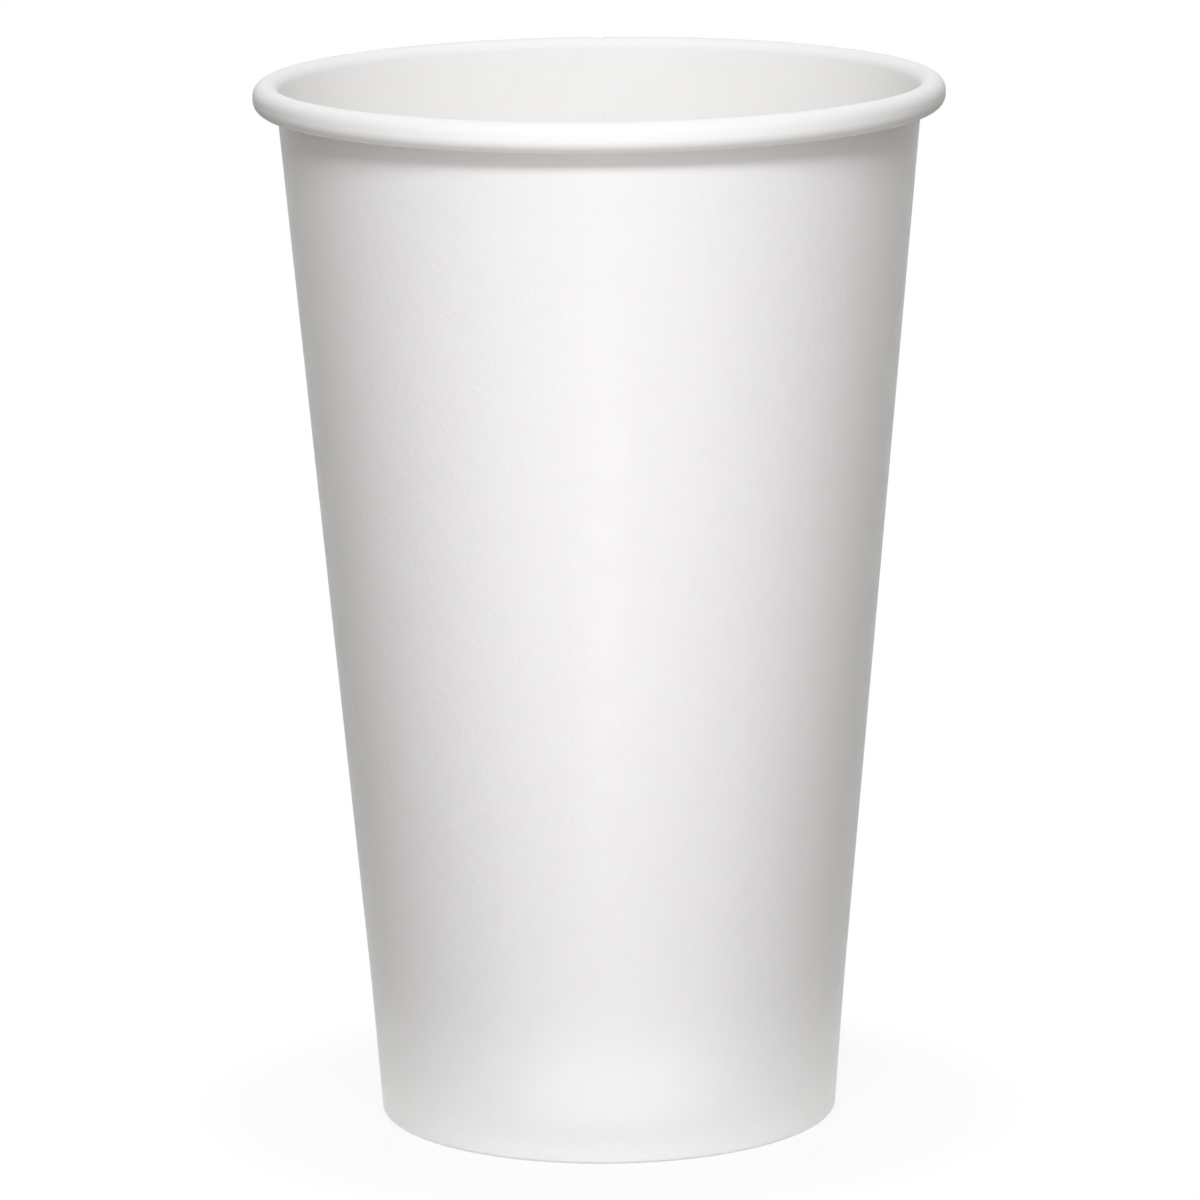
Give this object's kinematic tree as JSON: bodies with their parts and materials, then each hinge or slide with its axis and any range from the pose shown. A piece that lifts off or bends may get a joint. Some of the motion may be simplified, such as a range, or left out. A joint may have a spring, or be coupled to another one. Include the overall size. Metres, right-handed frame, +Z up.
{
  "type": "paper hot cup",
  "caption": "Tall single-wall paper hot cup: tapered board sidewall with rolled rim, lapped side seam and folded foot, and a recessed board base.",
  "frame": {"origin": "middle of the foot, on the surface that the cup stands on", "axes": "+Z up along the cup's axis, the side seam at the back towards +Y, the front towards -Y"},
  "size_m": [0.09, 0.09, 0.1377],
  "materials": {
    "sidewall_board": "satin white coated board",
    "base_board": "white board, film-lined on its upper face"
  },
  "bodies": {
    "root": {"sidewall": "sidewall_board", "base": "base_board"}
  },
  "joints": []
}
